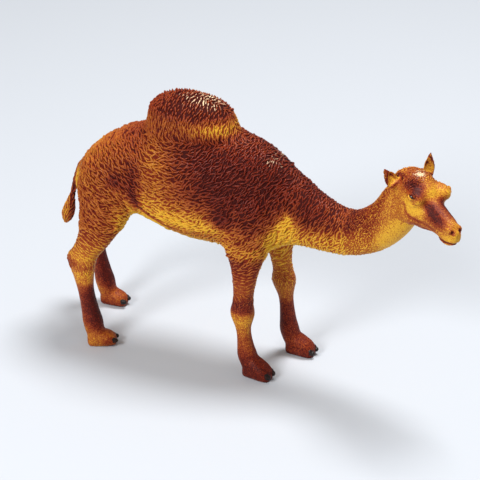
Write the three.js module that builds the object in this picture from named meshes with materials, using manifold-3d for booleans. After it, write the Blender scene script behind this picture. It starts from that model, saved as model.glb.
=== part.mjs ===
// A moulded dromedary figure, about 150 mm long, walking with its head turned to its right.
// Millimetres, +X towards the head, +Y to the animal's left, +Z up, standing on z = 0.
// Each form is a loft through a few cross-sections. The lofts are joined into one body, as the figure is
// one moulding, and thin cuts part that body where a person would name its parts.
import * as THREE from 'three';
import { LoftGeometry } from 'three/addons/geometries/LoftGeometry.js';
import { mergeVertices } from 'three/addons/utils/BufferGeometryUtils.js';
import Module from 'manifold-3d';

const wasm = await Module();
wasm.setup();

// ---------------------------------------------------------------- driving dimensions
const GAP = 0.3; // between two parts
const MIDDLE = [80.18, -0.12]; // of the figure's length and width, from the origin of the stations below

// Trunk, from the tail to the chest: x, height of the back, of the belly and of the widest point, and the
// half width there.
const TRUNK = [
  [11.8, 66.0, 53.0, 58.5, 5.4],
  [14.2, 70.0, 50.0, 59.5, 8.8],
  [18.0, 74.2, 48.6, 60.5, 11.6],
  [23.5, 78.6, 49.0, 61.5, 13.3],
  [30.0, 82.4, 51.4, 63.0, 14.0],
  [38.0, 85.2, 51.8, 64.0, 14.6],
  [47.0, 86.8, 48.6, 64.0, 15.6],
  [57.0, 87.8, 46.8, 63.5, 16.0],
  [66.0, 88.2, 46.6, 63.0, 15.8],
  [74.0, 87.2, 46.8, 63.0, 14.8],
  [82.0, 84.4, 47.2, 63.0, 13.2],
  [89.0, 80.0, 49.0, 62.5, 11.2],
  [94.5, 74.5, 52.0, 62.0, 8.6],
];
// Hump, level rings from its foot to its crown: height, x of the middle, half length, half width.
const HUMP = [
  [77.0, 54.8, 17.6, 11.6],
  [84.0, 54.8, 16.9, 10.9],
  [88.0, 54.7, 16.5, 10.5],
  [91.4, 54.5, 15.8, 10.0],
  [94.4, 54.0, 13.9, 8.9],
  [96.6, 53.4, 10.8, 7.0],
  [97.9, 53.0, 6.6, 4.4],
];
// Neck, along its middle: x, y, z, half width, and how far it reaches above and below.
const NECK = [
  [84.0, 0.0, 65.0, 11.0, 15.5, 15.0],
  [92.0, 0.0, 63.0, 9.8, 12.8, 12.4],
  [100.0, 0.0, 60.8, 8.0, 10.4, 10.2],
  [108.0, -0.2, 59.4, 6.8, 8.8, 8.9],
  [115.5, -0.8, 60.2, 6.4, 7.6, 8.6],
  [122.5, -1.8, 64.2, 6.3, 7.0, 9.0],
  [128.5, -2.8, 70.2, 6.4, 6.7, 9.0],
  [132.6, -3.3, 76.6, 6.4, 6.8, 8.2],
  [134.8, -3.2, 82.0, 5.9, 5.6, 5.6],
];
// Skull and muzzle: millimetres ahead of the head's root, top, bottom and half width.
const HEAD_ROOT = [135.4, -3.0, 81.2];
const HEAD_TURN = 32; // degrees to the right
const HEAD_DROP = 11; // degrees below level
const SKULL = [
  [-4.0, 4.8, -7.0, 5.4],
  [-1.0, 7.7, -8.4, 6.6],
  [3.0, 9.1, -9.2, 7.2],
  [7.0, 8.0, -9.0, 7.0],
  [11.0, 5.6, -8.0, 6.0],
  [15.0, 4.2, -6.4, 4.7],
  [19.0, 3.4, -5.4, 3.9],
  [22.0, 2.9, -5.7, 3.5],
  [24.4, 2.1, -5.9, 3.1],
  [25.8, 1.3, -5.1, 2.4],
];
const MOUTH = { from: 8.5, up: -4.6 }; // the lower jaw starts this far ahead, and its top lies this high
// Brows, eyes and ears, whose two sides are slightly uneven: the middle of each, and an ear's lean.
const ORBITS = {
  right: { middle: [9.0, -4.6, 4.4], size: [4.0, 3.1, 2.6] },
  left: { middle: [9.6, 5.1, 4.1], size: [4.2, 3.3, 2.9] },
};
const EYES = { right: [9.4, -6.5, 5.2], left: [10.0, 7.2, 4.2] };
const EYE_RADIUS = 1.35;
const EARS = {
  right: { root: [0.2, -7.0, 4.4], lean: [-3.4, -2.6, 4.6] },
  left: { root: [0.2, 7.0, 4.4], lean: [-3.3, 2.1, 5.9] },
};
const EAR_WIDTHS = [2.3, 2.7, 2.5, 1.6, 0.5];
const EAR_THICKNESS = [1.0, 0.95, 0.8, 0.65, 0.4];
const NOSTRIL = { ahead: 25.4, left: 1.9, up: 0.6, size: [1.0, 0.7, 0.45] };

// Girths: place along a leg's bone line, reach forward and back of it, half width.
const HIND_GIRTH = [
  [0.0, 5.6, 5.0, 2.4],
  [0.3, 9.4, 8.6, 5.9],
  [0.65, 11.0, 10.6, 6.8],
  [1.0, 9.6, 9.8, 6.2],
  [1.5, 6.9, 6.0, 4.8],
  [1.78, 4.9, 5.2, 4.1],
  [1.98, 4.4, 7.2, 3.7],
  [2.15, 4.1, 5.0, 3.4],
  [2.45, 3.1, 3.4, 2.9],
  [2.8, 3.5, 3.7, 3.2],
  [3.0, 4.0, 4.0, 3.6],
  [3.6, 3.6, 3.6, 3.3],
];
const FORE_GIRTH = [
  [0.0, 5.0, 5.5, 4.6],
  [0.35, 9.0, 9.4, 6.7],
  [0.72, 9.3, 10.0, 6.8],
  [1.05, 7.5, 8.8, 5.7],
  [1.4, 4.8, 5.4, 4.0],
  [1.75, 3.7, 3.9, 3.4],
  [1.98, 4.6, 4.9, 3.8],
  [2.3, 2.9, 3.0, 2.7],
  [2.7, 3.0, 3.5, 2.9],
  [3.0, 3.6, 4.1, 3.3],
  [3.6, 3.4, 3.6, 3.1],
];
// Foot and its nails, ahead of the ankle: millimetres ahead, height and half width. The fore feet are larger.
const HIND_FOOT = {
  sole: [
    [-2.2, 4.8, 2.7],
    [-0.6, 7.0, 3.3],
    [1.6, 6.9, 3.5],
    [3.6, 5.6, 3.6],
    [5.4, 4.7, 3.4],
    [6.6, 3.6, 2.8],
  ],
  nail: [[5.6, 3.2, 1.15], [6.6, 2.9, 1.15], [7.3, 2.2, 0.9]],
  nailBottom: 0.5,
};
const FORE_FOOT = {
  sole: [
    [-2.4, 5.2, 2.9],
    [-0.6, 8.0, 3.5],
    [1.6, 8.1, 3.7],
    [3.6, 6.9, 3.8],
    [5.4, 5.8, 3.6],
    [6.8, 4.4, 3.0],
  ],
  nail: [[5.8, 4.2, 1.2], [6.8, 3.8, 1.2], [7.5, 3.0, 0.9]],
  nailBottom: 1.0,
};
const NAIL_OUT = 1.7; // from the foot's middle to each nail's
const CLEFT = { from: 3.4, width: 0.7, length: 12, height: 24 };
const SOLE_BELOW = -1.0; // how far a foot's loft runs on under the floor, where it is cut level
const FETLOCK = 8.8; // height of the cut above each foot

// Legs: bone line from hip or shoulder to foot as [x, distance from the midline, z], then the foot's turn to
// the left and the lift of its toes in degrees.
const LEGS = {
  hindleg_right: {
    hand: -1, girth: HIND_GIRTH, foot: HIND_FOOT, turn: 22, lift: 9,
    line: [[23.0, 6.0, 73.0], [24.4, 9.4, 53.5], [17.6, 13.2, 32.0], [20.6, 13.8, 9.5], [22.2, 14.0, 3.0]],
  },
  hindleg_left: {
    hand: 1, girth: HIND_GIRTH, foot: HIND_FOOT, turn: 0, lift: 8,
    line: [[22.6, 6.0, 73.0], [22.4, 9.4, 53.5], [8.4, 13.4, 32.5], [10.6, 14.4, 9.8], [12.2, 14.8, 3.0]],
  },
  foreleg_right: {
    hand: -1, girth: FORE_GIRTH, foot: FORE_FOOT, turn: -4, lift: 0,
    line: [[80.6, 7.6, 72.0], [79.6, 8.8, 51.0], [78.2, 10.0, 23.8], [80.2, 10.2, 8.4], [82.0, 10.4, 3.0]],
  },
  foreleg_left: {
    hand: 1, girth: FORE_GIRTH, foot: FORE_FOOT, turn: 0, lift: 0,
    line: [[80.6, 7.6, 72.0], [82.8, 8.8, 52.0], [85.0, 10.2, 28.6], [87.2, 10.6, 9.4], [89.2, 10.8, 3.0]],
  },
};

// Tail: x, z and half thickness, from its root down to the tip of the tuft.
const TAIL = [
  [14.5, 65.0, 2.4],
  [10.4, 61.6, 1.9],
  [8.0, 56.6, 1.45],
  [6.6, 51.4, 1.3],
  [5.6, 47.6, 1.8],
  [4.5, 43.6, 2.5],
  [3.8, 40.6, 2.1],
  [3.3, 38.4, 0.9],
];
const TUFT_TOP = 49.0;

// Cuts between the parts: planes as [normal, point], a part lying beyond all of its own. The legs' planes are
// written for the left side.
const OWN_SIDE = [[0, 1, 0], [0, 1, 0]];
const HIND_CUT = [OWN_SIDE, [[0, 0.906, -0.423], [0, 3.6, 50.5]], [[-0.985, 0, -0.171], [37.5, 0, 52.0]]];
const FORE_CUT = [
  OWN_SIDE,
  [[0, 0.92, -0.393], [0, 4.4, 50.0]],
  [[1, 0, 0], [68.9, 0, 0]],
  [[-1, 0, 0], [93.5, 0, 0]],
];
const HUMP_CUT = [[[0, 0, 1], [0, 0, 84.4]], [[1, 0, 0.1], [37.4, 0, 86.0]], [[-1, 0, 0.1], [71.6, 0, 86.0]]];
const HEAD_CUT = [[[0.8, -0.4, 0.42], [134.2, -4.6, 76.5]]];
const NECK_CUT = [[[0.93, 0, -0.36], [96.5, 0, 62.0]]];
const ABOVE_FLOOR = [[[0, 0, 1], [0, 0, 0]]];
const BELOW_FETLOCK = [[[0, 0, -1], [0, 0, FETLOCK]]];
const ABOVE_FETLOCK = [[[0, 0, 1], [0, 0, FETLOCK + GAP]]];
const BELOW_TUFT_TOP = [[[0, 0, -1], [0, 0, TUFT_TOP]]];

const COLOURS = { coat: 0xb5641c, pale: 0xd8a23c, wool: 0x6a3114, horn: 0x1e140e, eye: 0x140b08 };

// ---------------------------------------------------------------- solids
const radians = Math.PI / 180;
const vector = (point) => new THREE.Vector3(...point);

// A three.js geometry as a solid that can be joined and cut.
function solid(geometry) {
  const bare = new THREE.BufferGeometry().setAttribute('position', geometry.getAttribute('position'));
  bare.setIndex(geometry.index);
  const merged = mergeVertices(bare, 1e-4);
  const vertProperties = merged.attributes.position.array;
  const triVerts = new Uint32Array(merged.index.array);
  return new wasm.Manifold(new wasm.Mesh({ numProp: 3, vertProperties, triVerts }));
}

function ellipsoid(centre, radii, around = 14, basis = new THREE.Matrix4()) {
  const geometry = new THREE.SphereGeometry(1, around, Math.round(around * 0.7));
  geometry.scale(...radii).applyMatrix4(basis).translate(...centre);
  return solid(geometry);
}

const join = (...solids) => solids.reduce((whole, next) => whole.add(next));
const cut = (whole, ...tools) => tools.reduce((left, tool) => left.subtract(tool), whole);
const largest = (made) => made.decompose().sort((a, b) => b.volume() - a.volume())[0];

// What of a solid lies beyond every plane, each given as [normal, point on it], or within `grow` of that.
function beyond(whole, planes, grow = 0) {
  return planes.reduce((left, [normal, point]) => {
    const unit = vector(normal).normalize();
    return left.trimByPlane(unit.toArray(), unit.dot(vector(point)) - grow);
  }, whole);
}
// A solid parted in two: the piece beyond all the planes, and the rest of it, a gap apart.
const everything = solid(new THREE.BoxGeometry(900, 900, 900));
const part = (whole, planes) => [
  largest(beyond(whole, planes)),
  largest(whole.subtract(beyond(everything, planes, GAP))),
];

// ---------------------------------------------------------------- lofts
// Numbers part of the way along a list of stations, on a Catmull-Rom curve through them.
function along(stations, t) {
  const last = stations.length - 1;
  const i = Math.min(Math.floor(t), last - 1);
  const f = t - i;
  const near = [i - 1, i, i + 1, i + 2].map((k) => stations[Math.min(Math.max(k, 0), last)]);
  const [before, from, to, after] = near;
  return from.map((_, k) => from[k] + 0.5 * f * (to[k] - before[k]
    + f * (2 * before[k] - 5 * from[k] + 4 * to[k] - after[k]
    + f * (3 * from[k] - before[k] - 3 * to[k] + after[k]))));
}

// A cross-section: a superellipse with its own reach above and below its centre.
function section(centre, across, up, [half, above, below], count, squareness) {
  const reach = (value) => Math.sign(value) * Math.abs(value) ** (2 / squareness);
  return Array.from({ length: count }, (_, k) => {
    const angle = (2 * Math.PI * (k + 0.5)) / count;
    const high = reach(Math.sin(angle)) * (Math.sin(angle) > 0 ? above : below);
    const wide = half * reach(Math.cos(angle));
    return centre.clone().addScaledVector(across, wide).addScaledVector(up, high);
  });
}

// A loft through stations of [x, y, z, half width, above, below]. Its sections stand square to the path, or to
// the axis given, and dome-shaped ends of a few rings close it.
function loft(stations, { count = 18, squareness = 2.2, side = [0, 1, 0], axis = null,
  ends = [1, 1], domeRings = 3, grow = 0 } = {}) {
  const last = stations.length - 1;
  const dome = Array.from({ length: domeRings }, (_, k) => (
    (1 - (k + 0.4) / (domeRings + 0.2)) * (Math.PI / 2)
  ));
  const ring = (t, scale = 1, shift = 0) => {
    const here = along(stations, t);
    const ahead = along(stations, Math.min(t + 0.05, last));
    const behind = along(stations, Math.max(t - 0.05, 0));
    const forward = axis ? vector(axis) : vector(ahead.slice(0, 3)).sub(vector(behind.slice(0, 3)));
    forward.normalize();
    const up = forward.clone().cross(vector(side)).normalize();
    const across = up.clone().cross(forward);
    const centre = vector(here.slice(0, 3)).addScaledVector(forward, shift);
    const sizes = here.slice(3, 6).map((size) => (size + grow) * scale);
    return section(centre, across, up, sizes, count, squareness);
  };
  const sections = [
    ...dome.map((angle) => ring(0, Math.cos(angle), -(ends[0] + grow) * Math.sin(angle))),
    ...stations.map((_, k) => ring(k)),
    ...dome.toReversed().map((angle) => ring(last, Math.cos(angle), (ends[1] + grow) * Math.sin(angle))),
  ];
  return solid(new LoftGeometry(sections, { capStart: true, capEnd: true }));
}

// ---------------------------------------------------------------- forms
const trunkForm = (grow = 0) => loft(TRUNK.map(([x, back, belly, widest, half]) => [
  x, 0, widest, half, back - widest, widest - belly,
]), { count: 23, axis: [1, 0, 0], ends: [2.6, 4], grow });

const humpForm = loft(HUMP.map(([z, x, long, half]) => [x, 0, z, half, long, long]), {
  count: 20, squareness: 2.3, axis: [0, 0, 1], ends: [1, 1.2],
});

const neckForm = loft(NECK, { ends: [2, 3] });

// The head's own axes, and a place on it by millimetres ahead, left and up of its root.
const turned = new THREE.Matrix4().makeRotationZ(-HEAD_TURN * radians)
  .multiply(new THREE.Matrix4().makeRotationY(HEAD_DROP * radians));
const column = (matrix, k) => new THREE.Vector3().setFromMatrixColumn(matrix, k);
const [headAhead, headLeft, headUp] = [0, 1, 2].map((k) => column(turned, k));
const onHead = (ahead, left, up) => vector(HEAD_ROOT).addScaledVector(headAhead, ahead)
  .addScaledVector(headLeft, left).addScaledVector(headUp, up).toArray();

const skullForm = loft(SKULL.map(([ahead, top, bottom, half]) => {
  const reach = (top - bottom) / 2;
  return [...onHead(ahead, 0, (top + bottom) / 2), half, reach, reach];
}), { side: headLeft.toArray(), ends: [1.5, 1.8] });
const orbitForms = Object.values(ORBITS).map(({ middle, size }) => (
  ellipsoid(onHead(...middle), size, 11, turned)
));
const eyeForm = (side, grow = 0) => {
  const radii = Array(3).fill(EYE_RADIUS + grow);
  return ellipsoid(onHead(...EYES[side]), radii, 10, turned);
};
const nostrilForm = (hand) => {
  const { ahead, left, up, size } = NOSTRIL;
  return ellipsoid(onHead(ahead, hand * left, up), size, 6, turned);
};

function earForm(side, grow = 0) {
  const { root, lean } = EARS[side];
  const [back, out, rise] = lean;
  const path = headAhead.clone().multiplyScalar(back).addScaledVector(headLeft, out)
    .addScaledVector(headUp, rise);
  const wide = headLeft.clone().multiplyScalar(0.98).addScaledVector(headAhead, -0.1 * Math.sign(out));
  const stations = EAR_WIDTHS.map((half, k) => {
    const place = vector(onHead(...root)).addScaledVector(path, k / (EAR_WIDTHS.length - 1));
    return [...place.toArray(), half, EAR_THICKNESS[k], EAR_THICKNESS[k]];
  });
  return loft(stations, {
    count: 10, squareness: 2, side: wide.toArray(), ends: [1.5, 0.3], domeRings: 2, grow,
  });
}

function legForm({ hand, girth, line }) {
  const joints = line.map(([x, out, z]) => [x, hand * out, z]);
  const stations = girth.map(([place, front, back, half]) => [...along(joints, place), half, front, back]);
  return loft(stations, { count: 13, squareness: 2.1, ends: [3, 0.5], domeRings: 2 });
}

// A form in a foot's own frame: stations of [ahead, top, half width] with a level underside.
function footFrame({ hand, turn, lift, line }) {
  const [x, out] = line.at(-1);
  return new THREE.Matrix4().makeTranslation(x, hand * out, 0)
    .multiply(new THREE.Matrix4().makeRotationZ(turn * radians))
    .multiply(new THREE.Matrix4().makeRotationY(-lift * radians));
}
function footForm(leg, stations, left, bottom, { count = 10, grow = 0 } = {}) {
  const frame = footFrame(leg);
  const [axis, side] = [0, 1].map((k) => column(frame, k).toArray());
  const placed = stations.map(([ahead, top, half]) => {
    const reach = (top - bottom) / 2;
    const middle = new THREE.Vector3(ahead, left, bottom + reach).applyMatrix4(frame);
    return [...middle.toArray(), half, reach, reach];
  });
  return loft(placed, { count, squareness: 2.4, side, axis, ends: [1.0, 0.8], domeRings: 2, grow });
}
function cleftForm(leg) {
  const geometry = new THREE.BoxGeometry(CLEFT.length, CLEFT.width, CLEFT.height);
  geometry.translate(CLEFT.from + CLEFT.length / 2, 0, 0).applyMatrix4(footFrame(leg));
  return solid(geometry);
}

const tailForm = loft(TAIL.map(([x, z, half]) => [x, 0, z, half, half, half]), {
  count: 10, squareness: 2, ends: [1, 0.6],
});

// ---------------------------------------------------------------- parts
const materials = Object.fromEntries(Object.entries(COLOURS).map(([name, color]) => [
  name, new THREE.MeshStandardMaterial({ color, roughness: name === 'eye' ? 0.2 : 0.45, metalness: 0 }),
]));
const figure = new THREE.Group();
figure.name = 'dromedary_figure';
figure.position.set(-MIDDLE[0], -MIDDLE[1], 0);

function add(name, made, material) {
  const mesh = made.getMesh();
  const geometry = new THREE.BufferGeometry();
  geometry.setAttribute('position', new THREE.BufferAttribute(new Float32Array(mesh.vertProperties), 3));
  geometry.setIndex(new THREE.BufferAttribute(new Uint32Array(mesh.triVerts), 1));
  geometry.computeVertexNormals();
  const piece = new THREE.Mesh(geometry, materials[material]);
  piece.name = name;
  figure.add(piece);
}

// The one moulding, cut level at the floor, then parted: legs and feet first, then head, neck and tail.
const hands = { right: -1, left: 1 };
const legForms = Object.values(LEGS).map(legForm);
let body = join(trunkForm(), humpForm, neckForm, skullForm, ...orbitForms, ...legForms);
const handed = (planes, hand) => planes.map((plane) => plane.map(([x, y, z]) => [x, y * hand, z]));

for (const [name, leg] of Object.entries(LEGS)) {
  const { hand } = leg;
  let limb;
  [limb, body] = part(body, handed(name.startsWith('hind') ? HIND_CUT : FORE_CUT, hand));
  const { sole, nail, nailBottom } = leg.foot;
  const toes = cut(footForm(leg, sole, 0, SOLE_BELOW), cleftForm(leg));
  let foot = beyond(join(toes, beyond(limb, BELOW_FETLOCK)), [...BELOW_FETLOCK, ...ABOVE_FLOOR]);
  for (const [place, left] of Object.entries({ outer: hand * NAIL_OUT, inner: -hand * NAIL_OUT })) {
    const nailForm = (grow) => footForm(leg, nail, left, nailBottom, { count: 6, grow });
    foot = cut(foot, nailForm(GAP));
    add(`${name.replace('leg', '_nail')}_${place}`, nailForm(0), 'horn');
  }
  add(name, largest(beyond(limb, ABOVE_FETLOCK)), 'coat');
  add(name.replace('leg', '_foot'), largest(foot), 'coat');
}

let hump;
let head;
let neck;
[hump, body] = part(body, HUMP_CUT);
[head, body] = part(body, HEAD_CUT);
[neck, body] = part(body, NECK_CUT);
let jaw;
[jaw, head] = part(head, [
  [headUp.clone().negate().toArray(), onHead(0, 0, MOUTH.up)],
  [headAhead.toArray(), onHead(MOUTH.from, 0, 0)],
]);
for (const [name, hand] of Object.entries(hands)) {
  const ear = largest(cut(earForm(name), head));
  add(`ear_${name}`, ear, 'coat');
  head = cut(head, eyeForm(name, GAP), nostrilForm(hand), earForm(name, GAP));
  add(`eye_${name}`, eyeForm(name), 'eye');
}
add('head', largest(head), 'coat');
add('lower_jaw', jaw, 'pale');
add('neck', neck, 'coat');
add('trunk', body, 'coat');
add('hump', hump, 'wool');
const tailFree = largest(cut(tailForm, trunkForm(GAP)));
const [tuft, dock] = part(tailFree, BELOW_TUFT_TOP);
add('tail', dock, 'coat');
add('tail_tuft', tuft, 'wool');

export default figure;
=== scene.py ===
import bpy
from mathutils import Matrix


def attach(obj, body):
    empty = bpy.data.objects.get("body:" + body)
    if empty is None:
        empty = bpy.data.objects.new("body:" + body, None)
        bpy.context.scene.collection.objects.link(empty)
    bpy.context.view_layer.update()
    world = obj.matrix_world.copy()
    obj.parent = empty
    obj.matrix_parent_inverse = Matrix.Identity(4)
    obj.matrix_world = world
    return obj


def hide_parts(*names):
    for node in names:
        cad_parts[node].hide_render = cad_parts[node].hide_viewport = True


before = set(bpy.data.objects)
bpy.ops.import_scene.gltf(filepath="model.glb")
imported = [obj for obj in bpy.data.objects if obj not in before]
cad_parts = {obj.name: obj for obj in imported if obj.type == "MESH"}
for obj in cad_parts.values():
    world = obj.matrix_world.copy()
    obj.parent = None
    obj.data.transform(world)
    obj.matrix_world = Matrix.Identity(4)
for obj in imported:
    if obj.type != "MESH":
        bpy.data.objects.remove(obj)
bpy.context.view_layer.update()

import math

import bpy
import numpy as np
import openvdb
from mathutils import Vector

# ------------------------------------------------------------------ camera
# It looks down on the figure's right side from a little ahead of square, from far enough off that the near
# and far legs keep almost one scale.
CAMERA_AZIMUTH, CAMERA_ELEVATION = math.radians(25), math.radians(28)
CAMERA_TARGET = Vector((-0.00518, -0.00538, 0.05))
CAMERA_DISTANCE = 0.8

camera = bpy.data.objects.new("camera", bpy.data.cameras.new("camera"))
bpy.context.scene.collection.objects.link(camera)
camera.data.sensor_width = 36
camera.data.lens = 174
camera.data.clip_start, camera.data.clip_end = 0.01, 20
backward = Vector((
    math.sin(CAMERA_AZIMUTH) * math.cos(CAMERA_ELEVATION),
    -math.cos(CAMERA_AZIMUTH) * math.cos(CAMERA_ELEVATION),
    math.sin(CAMERA_ELEVATION),
))
camera.location = CAMERA_TARGET + backward * CAMERA_DISTANCE
camera.rotation_mode = "QUATERNION"
camera.rotation_quaternion = backward.to_track_quat("Z", "Y")
bpy.context.scene.camera = camera
bpy.context.scene.view_settings.view_transform = "Standard"


# ------------------------------------------------------------------ skin
# The figure is one moulding in soft plastic, head, body, legs and tail together. Its forms are profiles
# carried along paths, melted into one skin that lies inside the solids by the depth of the coat.
MIDDLE = np.array([80.18, -0.12, 0.0])  # the stations are measured from here, in millimetres
COAT_DEPTH = 0.2
HUMP_MIDDLE, HUMP_FOOT = 54.7, 86.5  # its x, and the height where it leaves the back
LEG_TOP = 46.0
MID_LENGTH = 50.0  # the forelegs are ahead of this x, the hind legs behind it

TRUNK = [  # x, height of the back, of the belly and of the widest point, half width there
    [11.8, 66.0, 53.0, 58.5, 5.4],
    [14.2, 70.0, 50.0, 59.5, 8.8],
    [18.0, 74.2, 48.6, 60.5, 11.6],
    [23.5, 78.6, 49.0, 61.5, 13.3],
    [30.0, 82.4, 51.4, 63.0, 14.0],
    [38.0, 85.2, 51.8, 64.0, 14.6],
    [47.0, 86.8, 48.6, 64.0, 15.6],
    [57.0, 87.8, 46.8, 63.5, 16.0],
    [66.0, 88.2, 46.6, 63.0, 15.8],
    [74.0, 87.2, 46.8, 63.0, 14.8],
    [82.0, 84.4, 47.2, 63.0, 13.2],
    [89.0, 80.0, 49.0, 62.5, 11.2],
    [94.5, 74.5, 52.0, 62.0, 8.6],
]
HUMP = [  # height, x of the middle, half length, half width
    [77.0, 54.8, 17.6, 11.6],
    [84.0, 54.8, 16.9, 10.9],
    [88.0, 54.7, 16.5, 10.5],
    [91.4, 54.5, 15.8, 10.0],
    [94.4, 54.0, 13.9, 8.9],
    [96.6, 53.4, 10.8, 7.0],
    [97.9, 53.0, 6.6, 4.4],
]
NECK = [  # x, y, z, half width, reach above and below
    [84.0, 0.0, 65.0, 11.0, 15.5, 15.0],
    [92.0, 0.0, 63.0, 9.8, 12.8, 12.4],
    [100.0, 0.0, 60.8, 8.0, 10.4, 10.2],
    [108.0, -0.2, 59.4, 6.8, 8.8, 8.9],
    [115.5, -0.8, 60.2, 6.4, 7.6, 8.6],
    [122.5, -1.8, 64.2, 6.3, 7.0, 9.0],
    [128.5, -2.8, 70.2, 6.4, 6.7, 9.0],
    [132.6, -3.3, 76.6, 6.4, 6.8, 8.2],
    [134.8, -3.2, 82.0, 5.9, 5.6, 5.6],
]
HEAD_ROOT = np.array([135.4, -3.0, 81.2])
HEAD_TURN, HEAD_DROP = math.radians(32), math.radians(11)
SKULL = [  # ahead of the root, top, bottom, half width
    [-4.0, 4.8, -7.0, 5.4],
    [-1.0, 7.7, -8.4, 6.6],
    [3.0, 9.1, -9.2, 7.2],
    [7.0, 8.0, -9.0, 7.0],
    [11.0, 5.6, -8.0, 6.0],
    [15.0, 4.2, -6.4, 4.7],
    [19.0, 3.4, -5.4, 3.9],
    [22.0, 2.9, -5.7, 3.5],
    [24.4, 2.1, -5.9, 3.1],
    [25.8, 1.3, -5.1, 2.4],
]
SIDES = {"right": -1, "left": 1}
ORBITS = {  # place and radii, ahead, left and up of the head's root
    "right": ([9.0, -4.6, 4.4], [4.0, 3.1, 2.6]),
    "left": ([9.6, 5.1, 4.1], [4.2, 3.3, 2.9]),
}
EARS = {  # root, and lean from root to tip
    "right": ([0.2, -7.0, 4.4], [-3.4, -2.6, 4.6]),
    "left": ([0.2, 7.0, 4.4], [-3.3, 2.1, 5.9]),
}
EAR_SECTIONS = [[2.3, 1.0], [2.7, 0.95], [2.5, 0.8], [1.6, 0.65], [0.6, 0.5]]  # half width, half thickness
HIND_GIRTH = [  # place along the bone line, reach forward and back, half width
    [0.0, 5.6, 5.0, 2.4],
    [0.3, 9.4, 8.6, 5.9],
    [0.65, 11.0, 10.6, 6.8],
    [1.0, 9.6, 9.8, 6.2],
    [1.5, 6.9, 6.0, 4.8],
    [1.78, 4.9, 5.2, 4.1],
    [1.98, 4.4, 7.2, 3.7],
    [2.15, 4.1, 5.0, 3.4],
    [2.45, 3.1, 3.4, 2.9],
    [2.8, 3.5, 3.7, 3.2],
    [3.0, 4.0, 4.0, 3.6],
    [3.6, 3.6, 3.6, 3.3],
]
FORE_GIRTH = [
    [0.0, 5.0, 5.5, 4.6],
    [0.35, 9.0, 9.4, 6.7],
    [0.72, 9.3, 10.0, 6.8],
    [1.05, 7.5, 8.8, 5.7],
    [1.4, 4.8, 5.4, 4.0],
    [1.75, 3.7, 3.9, 3.4],
    [1.98, 4.6, 4.9, 3.8],
    [2.3, 2.9, 3.0, 2.7],
    [2.7, 3.0, 3.5, 2.9],
    [3.0, 3.6, 4.1, 3.3],
    [3.6, 3.4, 3.6, 3.1],
]
HIND_FOOT = [  # ahead of the ankle, top, half width
    [-2.2, 4.8, 2.7],
    [-0.6, 7.0, 3.3],
    [1.6, 6.9, 3.5],
    [3.6, 5.6, 3.6],
    [5.4, 4.7, 3.4],
    [6.6, 3.6, 2.8],
]
FORE_FOOT = [
    [-2.4, 5.2, 2.9],
    [-0.6, 8.0, 3.5],
    [1.6, 8.1, 3.7],
    [3.6, 6.9, 3.8],
    [5.4, 5.8, 3.6],
    [6.8, 4.4, 3.0],
]
LEGS = {  # hand, girth, foot, the foot's turn and lift, bone line from hip or shoulder to the ground
    "hind_right": (-1, HIND_GIRTH, HIND_FOOT, 22, 9, [
        [23.0, 6.0, 73.0], [24.4, 9.4, 53.5], [17.6, 13.2, 32.0], [20.6, 13.8, 9.5], [22.2, 14.0, 3.0]]),
    "hind_left": (1, HIND_GIRTH, HIND_FOOT, 0, 8, [
        [22.6, 6.0, 73.0], [22.4, 9.4, 53.5], [8.4, 13.4, 32.5], [10.6, 14.4, 9.8], [12.2, 14.8, 3.0]]),
    "fore_right": (-1, FORE_GIRTH, FORE_FOOT, -4, 0, [
        [80.6, 7.6, 72.0], [79.6, 8.8, 51.0], [78.2, 10.0, 23.8], [80.2, 10.2, 8.4], [82.0, 10.4, 3.0]]),
    "fore_left": (1, FORE_GIRTH, FORE_FOOT, 0, 0, [
        [80.6, 7.6, 72.0], [82.8, 8.8, 52.0], [85.0, 10.2, 28.6], [87.2, 10.6, 9.4], [89.2, 10.8, 3.0]]),
}
TAIL = [  # x, z, half thickness
    [14.5, 65.0, 2.4],
    [10.4, 61.6, 1.9],
    [8.0, 56.6, 1.45],
    [6.6, 51.4, 1.3],
    [5.6, 47.6, 1.8],
    [4.5, 43.6, 2.5],
    [3.8, 40.6, 2.1],
    [3.3, 38.4, 0.9],
]
SKIN_CELL = 0.6  # millimetres between neighbouring points of the skin
HEAD_LENS = 1.55  # how many times closer together they lie on the head
LENS_REACH = (14.0, 75.0)  # millimetres from the head's middle, where that starts to fade and where it ends
LENS_SAMPLES = 4000
HEAD_MIDDLE = [9, 0, 0]  # ahead, left and up of the head's root


def along(stations, places):
    """Catmull-Rom curve: at each place, a cubic blend of the four stations around it."""
    stations = np.asarray(stations, float)
    last = len(stations) - 1
    first = np.clip(np.floor(places).astype(int), 0, last - 1)
    f = (places - first)[:, None]
    a, b, c, d = (stations[np.clip(first + k, 0, last)] for k in (-1, 0, 1, 2))
    return b + 0.5 * f * (c - a + f * (2 * a - 5 * b + 4 * c - d + f * (3 * b - a - 3 * c + d)))


def step(low, high, values):
    """0 below low, 1 above high, and the smooth cubic between."""
    t = np.clip((values - low) / (high - low), 0, 1)
    return t * t * (3 - 2 * t)


def unit(vectors):
    """The vectors divided by their lengths."""
    vectors = np.asarray(vectors, float)
    return vectors / np.linalg.norm(vectors, axis=-1, keepdims=True)


def ring_faces(rows, columns):
    """The quads between neighbouring rings of points, each ring following the last in one list."""
    at = np.arange(rows - 1)[:, None] * columns
    j, k = np.arange(columns), (np.arange(columns) + 1) % columns
    return np.stack([at + j, at + k, at + columns + k, at + columns + j], -1).reshape(-1, 4)


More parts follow.
